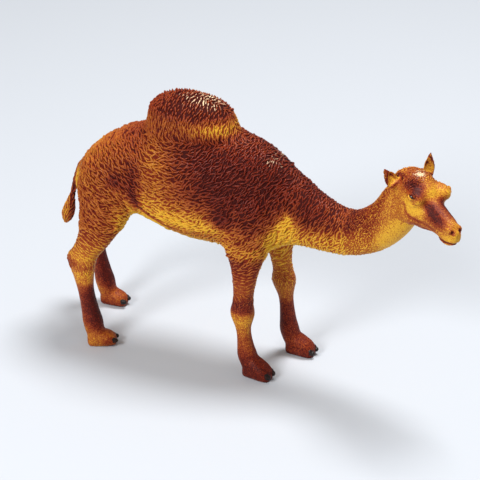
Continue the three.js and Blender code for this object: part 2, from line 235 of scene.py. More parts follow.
def swept(stations, side=(0, 1, 0), axis=None, ends=(1.0, 1.0), squareness=2.2, columns=40, finer=5):
    """A superellipse carried along the curve through [x, y, z, half width, above, below], closed by domes.
    A point is centre + half * c * across + (above or below) * s * up, where c and s are the cosine and the
    sine of the angle, each raised to 2 / squareness."""
    last = len(stations) - 1
    places = np.linspace(0, last, last * finer + 1)
    dome = np.linspace(0.5 * math.pi, 0, 7)[:-1]
    places = np.concatenate([0 * dome, places, last + 0 * dome])
    scale = np.concatenate([np.cos(dome), np.ones(last * finer + 1), np.cos(dome[::-1])])
    shift = np.concatenate([
        -ends[0] * np.sin(dome), np.zeros(last * finer + 1), ends[1] * np.sin(dome[::-1])])
    here = along(stations, places)
    ahead = along(stations, np.minimum(places + 0.05, last))
    behind = along(stations, np.maximum(places - 0.05, 0))
    forward = unit(ahead[:, :3] - behind[:, :3]) if axis is None else np.tile(unit(axis), (len(here), 1))
    up = unit(np.cross(forward, side))
    across = np.cross(up, forward)
    centre = here[:, :3] + forward * shift[:, None]
    half, above, below = (np.maximum(here[:, 3:6] - COAT_DEPTH, 0.1) * scale[:, None]).T
    angle = 2 * math.pi * (np.arange(columns) + 0.5) / columns
    c, s = (np.sign(v) * np.abs(v) ** (2 / squareness) for v in (np.cos(angle), np.sin(angle)))
    high = np.where(s > 0, above[:, None], below[:, None]) * s
    wide = half[:, None] * c
    points = centre[:, None] + across[:, None] * wide[..., None] + up[:, None] * high[..., None]
    return points.reshape(-1, 3), ring_faces(len(centre), columns)


def ellipsoid(centre, radii, basis=np.eye(3), rows=24, columns=32):
    """Points at centre + the radii times (sin u cos v, sin u sin v, cos u), turned by the basis."""
    u = np.linspace(0, math.pi, rows)[:, None]
    v = 2 * math.pi * np.arange(columns) / columns
    ball = np.stack([np.sin(u) * np.cos(v), np.sin(u) * np.sin(v), np.cos(u) + 0 * v], -1).reshape(-1, 3)
    return (ball * radii) @ basis + centre, ring_faces(rows, columns)[:, [0, 3, 2, 1]]


def lens(points, middle, closer=False):
    """Moves points outwards from the head's middle, to the distance r * (1 + (HEAD_LENS - 1) * fade), where
    the fade falls from 1 to 0 over LENS_REACH, or back inwards again."""
    radius = np.linspace(0, LENS_REACH[1] * 1.2, LENS_SAMPLES)
    enlarged = radius * (1 + (HEAD_LENS - 1) * (1 - step(*LENS_REACH, radius)))
    from_middle = points - middle
    here = np.linalg.norm(from_middle, axis=1)
    there = np.interp(here, enlarged, radius) if closer else np.interp(here, radius, enlarged)
    moved = middle + from_middle * (there / np.maximum(here, 1e-9))[:, None]
    return np.where((here < radius[-1] * 0.99)[:, None], moved, points)


def melted(forms, fillet, middle=None):
    """The forms as one closed surface: where their distance field is zero, after growing it by the fillet
    and shrinking it again, which rounds every inner corner to that radius."""
    counts = np.cumsum([0] + [len(points) for points, _ in forms])
    points = np.concatenate([points for points, _ in forms])
    quads = np.concatenate([faces + count for (_, faces), count in zip(forms, counts)])
    if middle is not None:
        points = lens(points, middle)
    cell = openvdb.createLinearTransform(voxelSize=SKIN_CELL)
    for level in (fillet, -fillet):
        field = openvdb.FloatGrid.createLevelSetFromPolygons(
            points.astype(np.float32), quads=quads.astype(np.uint32), transform=cell,
            halfWidth=fillet / SKIN_CELL + 3)
        points, quads = field.convertToQuads(isovalue=level)
    if middle is not None:
        points = lens(points.astype(float), middle, closer=True)
    return points, quads.astype(np.int64)[:, ::-1]


def head_basis():
    """Rows are the head's own directions: ahead, to its left, and up, turned right and tipped down."""
    ct, st, cd, sd = math.cos(HEAD_TURN), math.sin(HEAD_TURN), math.cos(HEAD_DROP), math.sin(HEAD_DROP)
    return np.array([[cd * ct, -cd * st, -sd], [st, ct, 0.0], [sd * ct, -sd * st, cd]])


HEAD = head_basis()


def on_head(place, hand=1):
    """The place that lies so far ahead of the head's root, to one hand of it and above it."""
    ahead, left, up = place
    return HEAD_ROOT + np.array([ahead, left * hand, up]) @ HEAD


def leg_form(hand, girth, line):
    """The leg's girths carried along the curve through its joints."""
    joints = np.array(line) * [1, hand, 1]
    centre = along(joints, np.array(girth)[:, 0])
    stations = np.column_stack([centre, np.array(girth)[:, [3, 1, 2]]])
    return swept(stations, ends=(3, 0.5), squareness=2.1)


def foot_basis(turn, lift):
    """Rows are the foot's forward, left and up directions."""
    ct, st = math.cos(math.radians(turn)), math.sin(math.radians(turn))
    cl, sl = math.cos(math.radians(lift)), math.sin(math.radians(lift))
    return np.array([[cl * ct, cl * st, sl], [-st, ct, 0.0], [-sl * ct, -sl * st, cl]])


def foot_form(hand, foot, turn, lift, line, bottom=-1.0):
    """The foot's sections carried straight ahead from below the ankle, and a little through the floor."""
    basis = foot_basis(turn, lift)
    origin = np.array([line[-1][0], hand * line[-1][1], 0.0])
    ahead, top, half = np.array(foot).T
    reach = (top - bottom) / 2
    centre = np.stack([ahead, 0 * ahead, bottom + reach], -1) @ basis + origin
    return swept(np.column_stack([centre, half, reach, reach]), side=basis[1], axis=basis[0],
                 ends=(1.0, 0.8), squareness=2.4)


trunk = swept([[x, 0, mid, half, back - mid, mid - belly] for x, back, belly, mid, half in TRUNK],
              axis=(1, 0, 0), ends=(2.6, 4), columns=64)
hump = swept([[x, 0, z, half, long, long] for z, x, long, half in HUMP],
             axis=(0, 0, 1), ends=(1, 1.2), squareness=2.3, columns=64)
neck = swept(NECK, ends=(2, 3))
skull = swept([[*on_head([ahead, 0, (top + bottom) / 2]), half, (top - bottom) / 2, (top - bottom) / 2]
               for ahead, top, bottom, half in SKULL],
              side=HEAD[1], ends=(1.5, 1.8))
orbits = [ellipsoid(on_head(middle), np.array(size) - COAT_DEPTH, HEAD) for middle, size in ORBITS.values()]
legs = [leg_form(hand, girth, line) for hand, girth, _, _, _, line in LEGS.values()]
feet = [foot_form(hand, foot, turn, lift, line) for hand, _, foot, turn, lift, line in LEGS.values()]
tail = swept([[x, 0, z, half, half, half] for x, z, half in TAIL], ends=(1, 0.6), squareness=2)


def ear_form(side):
    """The ear's sections carried straight from its root along its lean."""
    root, lean = EARS[side]
    wide = np.array([-0.1 * SIDES[side], 0.98, 0]) @ HEAD
    steps = np.linspace(0, 1, len(EAR_SECTIONS))[:, None]
    sizes = np.array(EAR_SECTIONS)
    stations = np.column_stack([on_head(root) + steps * (np.array(lean) @ HEAD), sizes, sizes[:, 1]])
    return swept(stations, side=wide, ends=(1.5, 0.3), squareness=2)


# On the head: the bag under the eye, the wings of the nostrils, the cheek and the two lips.
HEAD_FORMS = [  # ahead, to the side and up of the root, and the radii
    ([8.8, 5.6, 2.4], [2.8, 2.0, 1.2]),
    ([24.6, 1.9, 0.3], [1.7, 1.3, 1.5]),
    ([6.0, 3.8, -3.4], [6.0, 3.6, 4.4]),
    ([22.2, 1.6, -2.6], [3.8, 1.8, 1.7]),
    ([22.4, 0.9, -5.0], [3.6, 1.7, 0.9]),
]
details = [ellipsoid(on_head(place, hand), np.array(radii) - COAT_DEPTH, HEAD)
           for place, radii in HEAD_FORMS for hand in (-1, 1)]
body = melted([trunk, hump, neck, *legs], fillet=2.0)
body = melted([body, skull, *orbits, tail], fillet=1.2, middle=on_head(HEAD_MIDDLE))
ears = [ear_form(side) for side in SIDES]
points, quads = melted([body, *details, *feet, *ears], fillet=0.35, middle=on_head(HEAD_MIDDLE))


def neighbours_mean(values, quads, count):
    """The mean of each point's values over the points that share an edge with it."""
    edges = np.concatenate([quads[:, [k, (k + 1) % 4]] for k in range(4)])
    total = np.zeros((count, values.shape[1]))
    for column in range(values.shape[1]):
        total[:, column] = np.bincount(edges[:, 0], values[edges[:, 1], column], count)
        total[:, column] += np.bincount(edges[:, 1], values[edges[:, 0], column], count)
    many = np.bincount(edges.ravel(), minlength=count)
    return total / np.maximum(many, 1)[:, None]


def smoothed(points, quads, rounds):
    """Each round moves a point towards its neighbours' mean, then a little more back, which keeps the volume.
    A point that ends up below the floor is lifted to it."""
    for _ in range(rounds):
        for share in (0.5, -0.52):
            points = points + share * (neighbours_mean(points, quads, len(points)) - points)
    points[:, 2] = np.maximum(points[:, 2], 0.0)
    return points


def normals_of(points, quads):
    """Each point's normal: the sum of the cross products of the diagonals of the faces around it."""
    a, b, c, d = (points[quads[:, k]] for k in range(4))
    face = np.cross(c - a, d - b)
    total = np.zeros_like(points)
    for k in range(4):
        for column in range(3):
            total[:, column] += np.bincount(quads[:, k], face[:, column], len(points))
    return unit(total + 1e-12)


points = smoothed(points.astype(float), quads, 2)


def in_head(places):
    """How far ahead of the head's root, to either side of it and above it each point lies, and how surely it
    is on the head."""
    ahead, left, up = ((places - HEAD_ROOT) @ HEAD.T).T
    headness = step(-3.2, 0.5, ahead) * step(-10, -7, up) * step(116, 122, places[:, 0])
    return ahead, np.abs(left), up, headness


def spots(ahead, side, up, listed):
    """The sum of Gaussian patches in the head's own directions, each given as [amount, centre, radii]."""
    place = ahead, side, up
    return sum(amount * np.exp(-sum(((v - c) / r) ** 2 for v, c, r in zip(place, centre, radii)))
               for amount, centre, radii in listed)


def trench(first, second, path, width):
    """A Gaussian of the distance to a broken line, drawn in any two directions."""
    nearest = np.full(len(first), 1e9)
    for (a, b), (c, d) in zip(path[:-1], path[1:]):
        run = (c - a) ** 2 + (d - b) ** 2
        t = np.clip(((first - a) * (c - a) + (second - b) * (d - b)) / run, 0, 1)
        nearest = np.minimum(nearest, (first - a - t * (c - a)) ** 2 + (second - b - t * (d - b)) ** 2)
    return np.exp(-nearest / width ** 2)


def in_ear(places):
    """How far up the nearer ear each point lies, from 0 to 1, how far across it, from -1 to 1, and how far
    through it, from -1, its back, to 1, its front face. Up is 9 where no ear is near."""
    best = [np.full(len(places), 9.0), np.full(len(places), 9.0), np.zeros(len(places))]
    for side, (root, lean) in EARS.items():
        rise = np.array(lean) @ HEAD
        wide = np.array([-0.1, 0.98 * SIDES[side], 0]) @ HEAD
        from_base = places - on_head(root)
        climb = from_base @ rise / (rise @ rise)
        half, thick = (np.interp(climb, np.linspace(0, 1, len(EAR_SECTIONS)), sizes)
                       for sizes in np.array(EAR_SECTIONS).T)
        over = (from_base @ wide) / half
        out = from_base @ unit(np.cross(wide, rise) * SIDES[side]) / (thick - COAT_DEPTH)
        mine = (np.abs(out) < 2.6) & (np.abs(over) < 1.35) & (climb > -0.3) & (climb < 1.25)
        best = [np.where(mine, new, old) for new, old in zip((climb, over, out), best)]
    return best


MOUTH_LINE = [(14.0, -4.6), (16.0, -4.9), (20.0, -4.7), (24.0, -4.3), (28.0, -3.6)]  # ahead and up
CHEEK_LINE = [(6.4, 0.4), (7.2, -1.4), (9.4, -2.8), (12.6, -2.8), (16.5, -2.4), (19.0, -2.6)]
BAG_LINE = [(7.0, 2.4), (8.4, 3.3), (10.4, 3.4), (11.8, 2.8)]
HOLLOWS = [  # depth in millimetres, place ahead, to the side and up, and radii
    [0.9, [25.6, 1.55, 0.4], [0.9, 0.55, 0.55]],  # nostrils
    [0.45, [13.2, 4.2, 2.6], [1.8, 1.2, 1.2]],  # corners between brow and muzzle
    [0.35, [26.5, 0.0, -1.4], [2.2, 0.35, 1.6]],  # cleft of the upper lip
    [-0.25, [20.0, 3.0, 0.6], [3.0, 1.2, 1.0]],  # swell behind the nostrils
]
skin_normals = normals_of(points, quads)
ahead, side, up, headness = in_head(points)
carved = 0.6 * trench(ahead, up, MOUTH_LINE, 0.4) * step(13, 16, ahead)
carved += 0.2 * trench(ahead, up, CHEEK_LINE, 0.6) * step(2.0, 3.0, side)
carved += 0.25 * trench(ahead, up, BAG_LINE, 0.4) * step(5.0, 6.0, side)
carved += spots(ahead, side, up, HOLLOWS)
climb, over, out = in_ear(points)
cupped = 0.85 * step(0.95, 0.5, np.abs(over)) * step(0.0, 0.2, climb) * step(0.8, 0.55, climb)
cupped *= step(0.2, 0.6, out)
points = points - skin_normals * (carved * headness + cupped)[:, None]
points = smoothed(points, quads, 1)


def patches(points, listed):
    """The sum of Gaussian patches, each given as [amount, centre, radii], alike on both sides of the body."""
    both = points, points * [1, -1, 1]
    return sum(amount * np.maximum(*(np.exp(-(((p - centre) / radii) ** 2).sum(1)) for p in both))
               for amount, centre, radii in listed)


# Painted shade along the fold at the belly's edge follows this line.
BELLY_FOLD_SHADE = [(38.0, 64.0), (40.0, 60.0), (44.0, 56.6), (49.5, 53.6), (55.8, 52.0)]  # x and z
BODY_PATCHES = [  # brown added, place, radii
    [-0.16, [48, -14, 69], [7, 9, 8]],  # ribs
    [-0.14, [45, -12, 78], [6, 8, 6]],  # loin
    [0.15, [60, -9, 83], [9, 20, 6]],  # beside the hump
    [0.55, [80, -9, 76], [24, 24, 13]],  # shoulder
    [0.12, [72, -12, 74], [9, 10, 7]],
    [0.6, [72, -14, 61], [4, 5, 4]],  # elbow
    [0.55, [82, -13, 58], [8, 7, 7]],  # point of the shoulder
    [0.2, [35, -7, 84], [6, 9, 4]],  # croup
    [-0.14, [17, 0, 74], [7, 12, 6]],  # rump
    [0.15, [31, -13, 63], [6, 7, 8]],  # thigh
    [0.35, [31, -14, 66], [3.4, 6, 3.0]],
    # painted shade in the crease between thigh and flank
    [0.4, [38, -13, 64], [2.6, 6, 13]],  # crease between thigh and flank
    [-0.9, [94.5, -9, 62.5], [1.7, 4, 3.0]],  # bare strip from the chest down to the forelegs
    [-0.9, [92.5, -9, 59], [1.7, 4, 3.0]],
    [-0.9, [90, -9, 55.5], [1.7, 4, 3.0]],
    [-0.9, [87.5, -8, 51], [1.7, 4, 3.0]],
]
HUMP_SIDE_PATCHES = [[-0.44, [66.5, -6, 91.5], [7.5, 9, 4.0]]]
LEG_PATCHES = [
    [-0.4, [32.5, -12, 50], [2.4, 8, 6.0]],  # front edge of the thigh
    [0.5, [28.5, -16.5, 2.5], [2.5, 2.5, 2.5]],  # hind toes
    [0.4, [13.0, -13, 32.4], [2.4, 5, 2.2]],  # point of the hock
]
RIGHT_BROW_PATCHES = [  # brown added, place ahead, to the side and up of the head's root, radii
    [0.65, [9.4, 4.8, 6.4], [3.2, 2.6, 2.2]],
    [0.5, [6.6, 4.0, 8.0], [2.6, 2.4, 2.2]],
]
FACE_PATCHES = [
    [0.3, [4.0, 5.2, 6.0], [2.2, 2.0, 1.6]],  # temple
    [-0.5, [8.6, 6.9, 2.6], [2.6, 2.2, 1.8]],  # bag under the eye
    [-0.4, [10.0, 6.0, -0.3], [3.0, 2.4, 1.6]],  # cheek
    [-0.3, [13.0, 4.6, 1.2], [2.2, 1.6, 1.8]],
    [-0.3, [11.6, 1.0, 6.0], [2.4, 3.6, 1.8]],  # forehead
    [-0.25, [12.6, 6.2, 4.6], [1.6, 2.0, 1.6]],
    [0.6, [16.4, 3.0, 2.0], [3.8, 1.9, 2.7]],  # side of the muzzle
    [0.55, [20.2, 2.6, 0.9], [3.4, 1.3, 1.8]],
    [0.35, [14.2, 2.6, 3.8], [2.2, 1.9, 1.8]],
    [0.26, [19.0, 0.0, 3.6], [5.0, 2.4, 2.0]],  # bridge of the nose
    [-0.25, [25.6, 0.0, -2.2], [2.6, 3.4, 1.8]],  # upper lip
    [0.3, [14.0, 4.6, -5.2], [6.0, 3.0, 1.6]],  # jaw
    [1.6, [25.7, 1.55, 0.4], [1.1, 0.55, 0.5]],  # nostrils
]
# Painted highlights: pale cream patches where glints fall on the wool of the hump, the withers and the crown.
HUMP_HIGHLIGHTS = [[0.72, [59, -2.5, 97.5], [11, 5.5, 4]], [0.55, [86, -3, 81], [5, 6, 3]]]
CROWN_HIGHLIGHTS = [[0.9, [4.0, 0.4, 8.6], [2.8, 2.6, 1.8]]]
# Brown up the outer and the inner face of the legs: heights, and the brown at each.
FORE_OUTER = [
    [0, 4, 8, 11, 15, 18.5, 22, 24.5, 26, 29, 32, 35, 39, 46, 48.5, 51.5, 53.5, 56],
    [0.85, 0.9, 0.8, 0.6, 0.5, 0.3, 0.2, 0.3, 0.75, 0.85, 0.62, 0.5, 0.56, 0.6, 0.34, 0.34, 0.65, 0.82]]
FORE_INNER = [[0, 3, 6, 9, 14, 20, 23, 27, 31, 34, 38, 44],
              [0.9, 0.8, 0.7, 0.8, 0.85, 0.75, 0.4, 0.35, 0.45, 0.35, 0.18, 0.1]]
HIND_OUTER = [[0, 4, 7, 10, 14, 20, 23.5, 25, 29, 31, 33, 35, 39, 44, 50],
              [0.35, 0.35, 0.5, 0.75, 0.88, 0.88, 0.6, 0.26, 0.26, 0.5, 0.36, 0.22, 0.28, 0.46, 0.56]]
HIND_INNER = [[0, 4, 7, 12, 26, 30, 36, 44], [0.8, 0.5, 0.45, 0.88, 0.85, 0.55, 0.4, 0.2]]


def blend(first, second, share):
    """The first where the share is 0, the second where it is 1, and a straight mix between."""
    return first + (second - first) * share


def body_brown(points):
    """The back is browner than the belly, and the crown of the hump browner than its sides. Painted shade
    darkens the fold along the belly's edge and the crease between thigh and flank.
    """
    x, y, z = points.T
    back = 0.56 * step(54, 69, z) + patches(points, BODY_PATCHES)
    # painted shade along the belly fold, on the flanks only
    back += 0.7 * trench(x, z, BELLY_FOLD_SHADE, 0.9) * step(6, 9, np.abs(y))
    sides = 0.58 + patches(points, HUMP_SIDE_PATCHES)
    whole_hump = blend(sides, 0.8, step(90.4, 94.6, z))
    return blend(back, whole_hump, step(HUMP_FOOT, 89, z) * step(19.05, 17.14, np.abs(x - HUMP_MIDDLE)))


def neck_brown(points):
    """Pale along the throat, and browner above the neck's axis, most of all low down."""
    x, _, z = points.T
    above_axis = z - np.interp(x, [row[0] for row in NECK], [row[2] for row in NECK])
    low = 0.15 + 0.53 * step(-2.5, 5.5, above_axis) + 0.26 * step(116, 98, x) * step(-8, 2, above_axis)
    high = 0.04 + 0.38 * step(-7, 2, above_axis)
    return blend(low, high, step(116, 126, x))


def leg_brown(points):
    """Bands up the outer and the inner faces, and the hind shins browner ahead of the bone than behind it."""
    x, y, z = points.T
    is_fore = x > MID_LENGTH
    inner = step(1.5, -1.5, np.abs(y) - np.where(is_fore, 9.6, 12.8 - 0.05 * z))
    inner = np.maximum(inner, step(0, 4, y) * step(LEG_TOP, 38, z))
    outside = np.where(is_fore, np.interp(z, *FORE_OUTER), np.interp(z, *HIND_OUTER))
    inside = np.where(is_fore, np.interp(z, *FORE_INNER), np.interp(z, *HIND_INNER))
    brown = blend(outside, inside, inner) + patches(points, LEG_PATCHES)
    for limb in ("hind_right", "hind_left"):
        line = np.array(LEGS[limb][-1])[::-1]
        ahead_of_bone = (x - np.interp(z, line[:, 2], line[:, 0])) / 4
        mine = (y * LEGS[limb][0] > 0) & ~is_fore
        brown += mine * 0.34 * np.clip(ahead_of_bone, -1.2, 0.6) * step(27, 22, z) * step(4, 8, z)
    return brown


def head_brown(points):
    """Soft patches, and painted shade along the creases of the mouth, the cheek and the bag under the eye.
    The ears are brown but for the cup. Also says how surely each point is on the head."""
    ahead, side, up, headness = in_head(points)
    on_right = step(1.0, -1.0, (points - HEAD_ROOT) @ HEAD[1])
    face = 0.3 + 0.26 * step(8.0, 4, ahead) * step(4.0, 7.5, up) - 0.1 * step(18, 24, ahead)
    face += spots(ahead, side, up, FACE_PATCHES) + spots(ahead, side, up, RIGHT_BROW_PATCHES) * on_right
    # Painted shade in the creases along the cheek, the mouth and the bag under the eye.
    face += 0.3 * trench(ahead, up, CHEEK_LINE, 0.6) * step(2.0, 3.0, side)
    face += 1.0 * trench(ahead, up, MOUTH_LINE, 0.4) * step(14, 17, ahead)
    face += 0.25 * trench(ahead, up, BAG_LINE, 0.3) * step(5.0, 6.0, side)
    climb, over, out = in_ear(points)
    ear = 0.8 - 0.66 * step(-0.65, -0.35, out) * step(1.05, 0.85, np.abs(over))
    ear += 0.6 * step(0.12, 0.0, climb) + 0.3 * step(0.85, 1.0, climb)
    near_ear = climb < 1.3
    face = np.where(near_ear, blend(face, ear, step(-0.15, 0.05, climb)), face)
    return face, np.where(near_ear, 1, headness)


def painted(points):
    """How much brown is on each point, from 0, bare yellow, to 1, near black, which is sprayed paint and also
    painted shade in creases and on the tail's side towards the rump; how much pale cream is painted on it as
    highlight; and how coarsely the brown speckles there."""
    x, y, z = points.T
    hand = np.abs(y)
    brown = blend(body_brown(points), neck_brown(points), step(93, 101, x))
    top = np.where((x > MID_LENGTH) & (x < 87), 57, 52) + 15 * step(37, 33, x)
    on_limb = step(top, top - 6, z) * step(105, 98, x) * np.where(hand < 5, step(10, 12, x), 1)
    brown = blend(brown, leg_brown(points), on_limb)
    head, headness = head_brown(points)
    brown = blend(brown, head, headness)
    # The tail is brown, with painted shade on its side towards the rump.
    tail_brown_and_shade = 0.3 + 0.4 * step(0.2, 1.6, x - 2.2 - 0.06 * z)
    brown = np.where((x < 11.5) & (hand < 5), blend(brown, tail_brown_and_shade, step(11.5, 10, x)), brown)

    highlight = patches(points, HUMP_HIGHLIGHTS) + spots(*in_head(points)[:3], CROWN_HIGHLIGHTS)
    coarse = np.maximum(np.maximum(headness, step(110, 125, x)), step(40, 30, z))
    return np.clip(np.stack([brown, highlight, coarse], -1), 0, 1)


def mesh_object(name, points, *faces):
    """A smooth mesh of points, given in millimetres from the stations' origin, and of arrays of quads or
    triangles. Its place is in its points."""
    mesh = bpy.data.meshes.new(name)
    mesh.from_pydata(((points - MIDDLE) / 1000).tolist(), [], sum([block.tolist() for block in faces], []))
    mesh.polygons.foreach_set("use_smooth", np.ones(len(mesh.polygons), bool))
    made = bpy.data.objects.new(name, mesh)
    bpy.context.scene.collection.objects.link(made)
    return made


skin = mesh_object("skin", points, quads)


def carry(piece, paint, crest):
    """Gives a piece its paint amounts and how near each point is to the crest of a strand."""
    layer = piece.data.attributes.new("paint", "FLOAT_COLOR", "POINT")
    layer.data.foreach_set("color", np.column_stack([paint, np.ones(len(paint))]).astype(np.float32).ravel())
    layer = piece.data.attributes.new("crest", "FLOAT", "POINT")
    layer.data.foreach_set("value", crest.astype(np.float32))


# Bare skin gets a middling crest value, so its colour is neither lightened nor darkened. Skin under the fur
# gets none, which paints shade between the strands.
bare = step(LEG_TOP, 30, points[:, 2]) + step(-4, 0, in_head(points)[0]) * step(120, 126, points[:, 0])
carry(skin, painted(points), 0.5 * np.clip(bare, 0, 1))

bpy.context.view_layer.objects.active = skin
skin.select_set(True)
skin.data.uv_layers.new(name="OFBake")
bpy.ops.object.mode_set(mode="EDIT")
bpy.ops.mesh.select_all(action="SELECT")
bpy.ops.uv.smart_project(angle_limit=math.radians(66), island_margin=0.002)
bpy.ops.object.mode_set(mode="OBJECT")
skin.select_set(False)
corners = np.empty(len(skin.data.loops), int)
skin.data.loops.foreach_get("vertex_index", corners)
flat = np.empty(len(corners) * 2)
skin.data.uv_layers["OFBake"].data.foreach_get("uv", flat)
unwrap = np.zeros((len(points), 2))
unwrap[corners] = flat.reshape(-1, 2)


class Socket:
    """A shader socket: an arithmetic expression on it adds Math nodes."""

    def __init__(self, tree, socket):
        self.tree, self.socket = tree, socket

    def math(self, operation, *others):
        return self.tree.add("ShaderNodeMath", {"operation": operation}, [self, *others])

    def __add__(self, other):
        return self.math("ADD", other)

    def __sub__(self, other):
        return self.math("SUBTRACT", other)

    def __rsub__(self, other):
        return self.tree.add("ShaderNodeMath", {"operation": "SUBTRACT"}, [other, self])

    def __mul__(self, other):
        return self.math("MULTIPLY", other)

    __radd__, __rmul__ = __add__, __mul__


class Finish:
    """A material with one Principled shader. add() makes any node from its type, its settings, and the values
    or links of its sockets."""

    def __init__(self, name, **fixed):
        self.material = bpy.data.materials.new(name)
        self.material.use_nodes = True
        self.nodes = self.material.node_tree.nodes
        self.shader = self.nodes["Principled BSDF"]
        for key, value in fixed.items():
            self.shader.inputs[key.replace("_", " ")].default_value = value

    def link(self, socket, value):
        if isinstance(value, Socket):
            self.material.node_tree.links.new(value.socket, socket)
        else:
            socket.default_value = value

    def add(self, kind, settings=None, sockets=(), output=0):
        node = self.nodes.new(kind)
        for key, value in (settings or {}).items():
            setattr(node, key, value)
        pairs = sockets.items() if isinstance(sockets, dict) else enumerate(sockets)
        for key, value in pairs:
            self.link(node.inputs[key], value)
        return Socket(self, node.outputs[output])

    def outputs_of(self, made):
        """All the outputs of the node that a socket belongs to, by name."""
        return {o.name: Socket(self, o) for o in made.socket.node.outputs}

    def mix(self, amount, a, b):
        """Colour a where the amount is 0, b where it is 1."""
        return self.add("ShaderNodeMix", {"data_type": "RGBA"}, {0: amount, 6: a, 7: b}, output=2)

    def ramp(self, low, high, value):
        """0 at low, 1 at high, the smooth cubic between."""
        return self.add("ShaderNodeMapRange", {"interpolation_type": "SMOOTHSTEP"},
                        {"Value": value, "From Min": low, "From Max": high})

    def noise(self, vector, scale, detail=2.0, roughness=0.5):
        return self.add("ShaderNodeTexNoise", {}, {
            "Vector": vector, "Scale": scale, "Detail": detail, "Roughness": roughness})

    def tones(self, value, stops):
        """A colour ramp through stops of (place, screen colour)."""
        made = self.add("ShaderNodeValToRGB", {}, {"Fac": value})
        ramp = made.socket.node.color_ramp
        for k, (where, tint) in enumerate(stops):
            stop = ramp.elements[k] if k < 2 else ramp.elements.new(where)
            stop.position, stop.color = where, srgb(*tint)
        return made

    def finish(self, **links):
        """Joins sockets to the shader's inputs, and gives the material."""
        for key, value in links.items():
            self.link(self.shader.inputs[key.replace("_", " ")], value)
        return self.material


def srgb(red, green, blue):
    """A screen colour, 0 to 255, as the linear colour that a shader takes."""
    c = np.array([red, green, blue]) / 255
    return (*np.where(c <= 0.04045, c / 12.92, ((c + 0.055) / 1.055) ** 2.4), 1.0)


TONES = [  # brown amount, and its colour on the screen
    (0.0, (226, 172, 46)), (0.12, (206, 142, 40)), (0.28, (178, 100, 32)), (0.48, (150, 68, 24)),
    (0.7, (120, 36, 12)), (0.88, (88, 16, 5)), (1.0, (60, 8, 3))]
# The pale cream of the painted highlights.
HIGHLIGHT_CREAM = srgb(246, 218, 176)

plastic = Finish("painted_plastic", Specular_IOR_Level=0.17)
masks = plastic.outputs_of(plastic.add("ShaderNodeSeparateColor", {}, [
    plastic.add("ShaderNodeAttribute", {"attribute_name": "paint"})]))
crest = plastic.add("ShaderNodeAttribute", {"attribute_name": "crest"}, output=2)
place = plastic.outputs_of(plastic.add("ShaderNodeTexCoord"))["Object"]
speckle = plastic.noise(place, 2600, 2, 0.7)
blotch = plastic.noise(place, 700, 2)
fine, broad = speckle - 0.5, blotch - 0.5
# The brown amount with random speckle and blotches. It is darker where the crest value is low, a painted
# shade between the strands, and lighter where it is high, a painted highlight on the crests.
tone = masks["Red"] + (0.9 + 0.8 * masks["Blue"]) * fine + 0.3 * broad + 0.27 - 0.55 * crest
# Painted highlight: pale cream over the highlight patches and along the strand crests, broken up by noise.
painted_highlight = plastic.ramp(0.62, 0.8, 0.5 * masks["Green"] + 0.45 * crest + 0.6 * broad + 0.3 * fine)
colour = plastic.mix(painted_highlight, plastic.tones(tone, TONES), HIGHLIGHT_CREAM)
roughness = 0.78 - 0.5 * crest + 0.25 * broad
grain = plastic.add("ShaderNodeBump", {}, {
    "Strength": 0.5, "Distance": 0.0001, "Height": speckle + 0.8 * plastic.noise(place, 1300, 3)})
skin.data.materials.append(plastic.finish(Base_Color=colour, Roughness=roughness, Normal=grain))
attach(skin, "root")
FLESH = ["trunk", "hump", "neck", "head", "lower_jaw", "ear_right", "ear_left", "tail", "tail_tuft",
         "hindleg_right", "hindleg_left", "foreleg_right", "foreleg_left",
         "hind_foot_right", "hind_foot_left", "fore_foot_right", "fore_foot_left"]
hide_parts(*FLESH)

# ------------------------------------------------------------------ coat
# The fur is modelled into the moulding as short raised strands. Each is a slim lens, pointed at both ends,
# half sunk in the skin, and they lie in rings about the hump, as the real coat falls away from it.
STRAND_RINGS = 5  # between a strand's two points
STRAND_UNEVENNESS = 0.22  # of its length, width, height and wave
STRAND_WAVELENGTH = 4.5  # millimetres
STRAND_FULLNESS = 0.6  # a strand swells along its length as a sine raised to this
STRAND_SUNK = 0.12  # how far its edges lie below the skin
STRAND_PATCH = 0.003  # its share of the unwrap, either way
WHORL = np.array([50.0, 0.0, 95.0])  # the hump's middle in the side view, about which the strands ring
SEED = 5
ROOTS_AT_ONCE = 400  # compared with their neighbours in one step

skin_normals = normals_of(points, quads)


def ripple(places, wavelength, phase):
    """A gentle, uneven swell between -1 and 1: the mean of three sines along skew directions."""
    skew = np.array([[1.0, 0.4, 0.3], [-0.5, 0.9, 0.7], [0.3, -0.6, 1.1]])
    return np.sin(places @ skew.T * 2 * math.pi / wavelength + phase * np.arange(1, 4)).mean(1)


def lie_of(places, normals):
    """The strands' direction: along the surface and square to the line from the whorl, or, on the hump, the
    tail and the lower legs, the way that water would run. A ripple turns it a little from place to place."""
    x, y, z = places.T
    from_whorl = (places - WHORL) * [1, 0.15, 1]
    around = np.cross(normals, unit(from_whorl))
    down = np.stack([0 * x, 0.6 * np.sign(y), -np.ones(len(places))], -1)
    down = down - normals * (down * normals).sum(1, keepdims=True)
    falls = np.maximum(step(84, 88, z) * step(125, 110, x), step(36, 28, z))
    falls = np.maximum(falls, step(10.5, 9.5, x) * step(5, 4, np.abs(y)))[:, None]
    lie = unit(unit(around + 1e-9) * (1 - falls) + unit(down + 1e-9) * falls)
    turn = 0.35 * ripple(places, 13.0, 2.0)[:, None]
    return lie * np.cos(turn) + np.cross(normals, lie) * np.sin(turn)


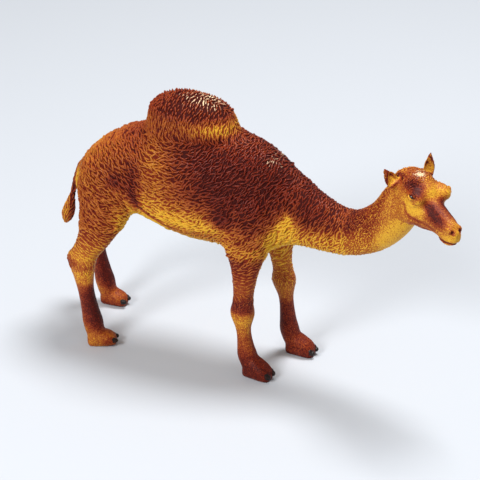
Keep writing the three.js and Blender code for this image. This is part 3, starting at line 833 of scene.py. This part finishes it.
def strewn(chosen, spacing, random):
    """Roots spread over the chosen skin points: two that are closer than the spacing, across and along the
    lie, never both stay. Rounds keep each point whose draw is the lowest among its rivals."""
    chosen = np.flatnonzero(chosen)
    chosen = chosen[np.argsort(points[chosen, 0])]
    places, normals = points[chosen], skin_normals[chosen]
    lie = lie_of(places, normals)
    across = np.cross(lie, normals)
    draw = random.random(len(places))
    rivals = []
    for start in range(0, len(places), ROOTS_AT_ONCE):
        here = slice(start, start + ROOTS_AT_ONCE)
        first, last = np.searchsorted(
            places[:, 0], [places[here, 0].min() - spacing[1], places[here, 0].max() + spacing[1]])
        apart = [(axis[here] @ places[first:last].T - (axis[here] * places[here]).sum(1)[:, None]) / reach
                 for axis, reach in ((lie, spacing[1]), (across, spacing[0]), (normals, spacing[1]))]
        i, j = np.nonzero(apart[0] ** 2 + apart[1] ** 2 + apart[2] ** 2 < 1)
        rivals.append(np.stack([i + start, j + first]))
    i, j = np.concatenate(rivals, 1)
    i, j = i[i != j], j[i != j]
    i, j = np.concatenate([i, j]), np.concatenate([j, i])
    state = np.zeros(len(places), int)  # 0 undecided, 1 kept, -1 dropped
    while (state == 0).any():
        live = (state[i] == 0) & (state[j] == 0)
        lowest = np.ones(len(places), bool)
        lowest[i[live & (draw[i] > draw[j])]] = False
        state[(state == 0) & lowest] = 1
        beaten = np.zeros(len(places), bool)
        beaten[i[state[j] == 1]] = True
        state[(state == 0) & beaten] = -1
    return chosen[state == 1]


def on_skin(places):
    """The nearest places on the skin, found by a Shrinkwrap."""
    probe = mesh_object("probe", places)
    wrap = probe.modifiers.new("wrap", "SHRINKWRAP")
    wrap.target, wrap.wrap_method = skin, "NEAREST_SURFACEPOINT"
    found = probe.evaluated_get(bpy.context.evaluated_depsgraph_get()).data
    flat = np.empty(len(places) * 3)
    found.vertices.foreach_get("co", flat)
    bpy.data.objects.remove(probe)
    return flat.reshape(-1, 3) * 1000 + MIDDLE


def strands(name, roots, length, width, height, wave, stray, random):
    """A piece of strands. Each runs along the lie through its root for its length, swung by a sine of the
    given wave, laid on the skin. Its section is a four-sided diamond, as wide as a sine of the way along."""
    count, rings = len(roots), STRAND_RINGS + 2
    lie = lie_of(points[roots], skin_normals[roots])
    side = np.cross(lie, skin_normals[roots])
    turn = random.normal(0, stray, count)[:, None]
    lie, side = lie * np.cos(turn) + side * np.sin(turn), side * np.cos(turn) - lie * np.sin(turn)
    longer, wider, higher, wavier = np.exp(random.normal(0, STRAND_UNEVENNESS, (4, count)))[..., None]
    way = np.linspace(-0.5, 0.5, rings) * length * longer
    swing = wave * wavier * np.sin(2 * math.pi * (way / STRAND_WAVELENGTH + random.random(count)[:, None]))
    centre = points[roots][:, None] + lie[:, None] * way[..., None] + side[:, None] * swing[..., None]
    centre = on_skin(centre.reshape(-1, 3)).reshape(count, rings, 3)
    tangent = unit(np.gradient(centre, axis=1) + 1e-9)
    upward = skin_normals[roots][:, None]
    upward = unit(upward - tangent * (upward * tangent).sum(2, keepdims=True))
    across = np.cross(tangent, upward)

    swell = np.sin(math.pi * np.linspace(0, 1, rings)) ** STRAND_FULLNESS
    half = across * (0.5 * width * wider * swell)[..., None]
    rise = (height * higher * swell)[..., None]
    sunk = -STRAND_SUNK * upward
    section = [half + sunk, upward * (rise - STRAND_SUNK), sunk - half, upward * (-STRAND_SUNK - 0.25 * rise)]
    made = np.stack([centre + corner for corner in section], 2)
    sides, tips = made[:, 1:-1].reshape(count, -1, 3), made[:, [0, -1]].mean(2)
    places = np.concatenate([sides, tips], 1)
    each = places.shape[1]  # the points of one strand
    j, k = np.arange(4), (np.arange(4) + 1) % 4
    end = (STRAND_RINGS - 1) * 4
    blocks = [ring_faces(STRAND_RINGS, 4)[:, [0, 3, 2, 1]],
              np.stack([0 * j + each - 2, j, k], -1), np.stack([0 * j + each - 1, end + k, end + j], -1)]
    at = np.arange(count)[:, None, None] * each
    places = places.reshape(-1, 3)
    made_object = mesh_object(name, places, *((block + at).reshape(-1, block.shape[1]) for block in blocks))

    crest = np.zeros((count, each))
    crest[:, 1:-2:4] = 1.0
    crest[:, -2:] = 0.3
    carry(made_object, painted(places), crest.ravel())
    along_patch = np.repeat(np.linspace(-1, 1, STRAND_RINGS), 4)
    across_patch = np.tile([-1, 0, 1, 0.3], STRAND_RINGS)
    patch = np.concatenate([np.stack([along_patch, across_patch], -1) / 1.3, [[-1, 0], [1, 0]]])
    flat = (unwrap[roots][:, None] + patch * STRAND_PATCH / 2).reshape(-1, 2)
    corner = np.empty(len(made_object.data.loops), int)
    made_object.data.loops.foreach_get("vertex_index", corner)
    layer = made_object.data.uv_layers.new(name="OFBake")
    layer.data.foreach_set("uv", flat[corner].astype(np.float32).ravel())
    made_object.data.materials.append(plastic.material)
    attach(made_object, "root")


x, y, z = points.T
ahead, side, up, _ = in_head(points)
off_ears = in_ear(points)[0] > 2
on_hump = (z > HUMP_FOOT) & (np.abs(x - HUMP_MIDDLE) < 19)
on_tail = (x < 11.2) & (np.abs(y) < 5) & (z < 64)
on_crown = (ahead > -4) & (ahead < 7.0) & (up > 4.5) & (side < 6.0) & (x > 125) & off_ears
on_leg = (z < LEG_TOP) & ~on_tail & (x < 100)
on_neck = (x > 97) & (ahead < 0.5) & off_ears
on_trunk = ~(on_hump | on_tail | on_leg) & (x <= 97)

random = np.random.default_rng(SEED)
for name, chosen, spacing, *size in [  # spacing across and along, length, width, height, wave, stray
    ("right", on_trunk & (y < -7.5), (0.62, 1.5), 3.5, 1.1, 0.55, 0.32, 0.22),
    ("left", on_trunk & (y > 7.5), (0.62, 1.5), 3.5, 1.1, 0.55, 0.32, 0.22),
    ("back", on_trunk & (np.abs(y) <= 7.5), (0.62, 1.5), 3.5, 1.1, 0.55, 0.32, 0.22),
    ("neck", on_neck & (x < 114), (0.6, 1.5), 3.0, 1.0, 0.4, 0.25, 0.2),
    ("nape", on_neck & (x > 113), (0.5, 1.0), 1.5, 0.7, 0.2, 0.12, 0.35),
    ("hump", on_hump & (z < 93.5), (0.6, 1.5), 3.2, 0.9, 0.45, 0.2, 0.15),
    ("hump_wool", on_hump & (z >= 93.2), (0.8, 1.3), 2.2, 1.0, 0.75, 0.1, 0.15),
    ("crown_wool", on_crown, (0.55, 0.8), 1.4, 0.85, 0.4, 0.12, 0.6),
    ("thigh", on_leg & (z > 28), (0.75, 2.0), 3.4, 1.0, 0.26, 0.2, 0.15),
    ("tail", on_tail, (0.6, 1.9), 3.8, 0.8, 0.34, 0.15, 0.15),
]:
    strands(f"coat_{name}", strewn(chosen, spacing, random), *size, random)

# ------------------------------------------------------------------ eyes
# The eyes are small balls of the moulding, painted dark and glossy, between two lids. Each lid is a slim roll
# that follows an arc over the ball from corner to corner, thickest in the middle.
EYES, EYE_RADIUS = {"right": [9.4, -6.5, 5.2], "left": [10.0, 7.2, 4.2]}, 1.35
EYE_FACING = {"right": [0.42, -0.76, 0.5], "left": [0.38, 0.88, 0.28]}
EYE_CORNERS = math.radians(72)  # either way from the facing direction
EYE_SLIT = np.array([1.0, 0.0, -0.1])  # the way from the back corner to the front one
LID_CLEARANCE = 0.05
LIDS = {  # lift in degrees, thickness, brown on the right and on the left
    "upper": (38, 0.42, {"right": 0.7, "left": 0.15}),
    "lower": (-30, 0.36, {"right": 0.2, "left": 0.2}),
}

glass = Finish("eye_gloss")
mottle = glass.noise(glass.outputs_of(glass.add("ShaderNodeTexCoord"))["Object"], 1500)
glass.finish(Base_Color=glass.mix(glass.ramp(0.4, 0.7, mottle), srgb(18, 9, 6), srgb(48, 22, 12)),
             Roughness=0.06 + 0.08 * mottle)
for side in SIDES:
    eye_points, eye_faces = ellipsoid(on_head(EYES[side]), [EYE_RADIUS] * 3, HEAD, rows=20, columns=28)
    eyeball = mesh_object(f"eye_{side}_ball", eye_points, eye_faces)
    eyeball.data.materials.append(glass.material)
    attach(eyeball, "root")
    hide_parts(f"eye_{side}")
    facing = unit(EYE_FACING[side])
    along_slit = unit(EYE_SLIT - facing * (facing @ EYE_SLIT))
    upwards = np.cross(facing, along_slit)
    upwards = upwards * np.sign(upwards[2])
    for lid, (lift, thick, brown) in LIDS.items():
        turn = np.linspace(-EYE_CORNERS, EYE_CORNERS, 9)[:, None]
        rise = math.radians(lift) * np.cos(turn)
        arc = np.sin(turn) * along_slit + np.cos(turn) * (np.cos(rise) * facing + np.sin(rise) * upwards)
        size = COAT_DEPTH + thick * np.cos(turn * 0.9)
        centre = on_head(EYES[side]) + (arc * (EYE_RADIUS + LID_CLEARANCE)) @ HEAD
        lid_points, lid_faces = swept(np.column_stack([centre, size, size, size]), side=upwards @ HEAD,
                                      ends=(0.2, 0.2), squareness=2, columns=16)
        roll = mesh_object(f"lid_{lid}_{side}", lid_points, lid_faces)
        carry(roll, np.tile([brown[side], 0.0, 1.0], (len(lid_points), 1)), np.full(len(lid_points), 0.5))
        roll.data.materials.append(plastic.material)
        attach(roll, "root")

# ------------------------------------------------------------------ toenails
# The toenails are moulded with the feet, two blunt ones to each, and painted near black by hand, so brown
# shows where the paint is thin. They keep the solids' own shape.
horn = Finish("nail_paint", Specular_IOR_Level=0.3)
wear = horn.noise(horn.outputs_of(horn.add("ShaderNodeTexCoord"))["Object"], 1800, 3)
horn.finish(Base_Color=horn.mix(horn.ramp(0.45, 0.75, wear), srgb(14, 9, 8), srgb(58, 24, 12)),
            Roughness=0.3 + 0.25 * wear)
for name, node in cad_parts.items():
    if "_nail_" in name:
        node.data.materials.clear()
        node.data.materials.append(horn.material)

# ------------------------------------------------------------------ floor and light
# The figure stands on a plain pale floor, in a dim room. One soft lamp hangs over it, and another is above
# the viewer's left shoulder.
FLOOR = 3.0  # metres from the middle to each edge
floor = bpy.data.objects.new("floor", bpy.data.meshes.new("floor"))
floor.data.from_pydata([(-FLOOR, -FLOOR, 0), (FLOOR, -FLOOR, 0), (FLOOR, FLOOR, 0), (-FLOOR, FLOOR, 0)],
                       [], [(0, 1, 2, 3)])
bpy.context.scene.collection.objects.link(floor)
floor.data.materials.append(Finish("pale_floor", Roughness=0.7, Base_Color=srgb(198, 203, 210)).material)

world = bpy.data.worlds.new("room")
world.use_nodes = True
world.node_tree.nodes["Background"].inputs["Color"].default_value = (1.0, 0.98, 0.96, 1)
world.node_tree.nodes["Background"].inputs["Strength"].default_value = 0.4
bpy.context.scene.world = world


def soft_light(name, place, size, watts):
    """A round lamp at the place, in metres, facing the origin."""
    lamp = bpy.data.lights.new(name, "AREA")
    lamp.shape, lamp.size, lamp.energy = "DISK", size, watts
    made = bpy.data.objects.new(name, lamp)
    bpy.context.scene.collection.objects.link(made)
    made.location = place
    made.rotation_mode = "QUATERNION"
    made.rotation_quaternion = Vector(place).to_track_quat("Z", "Y")
    return made


soft_light("top_light", (0.1, 0.2, 0.8), 0.3, 6)
soft_light("front_light", (-0.25, -0.75, 0.55), 0.3, 6)
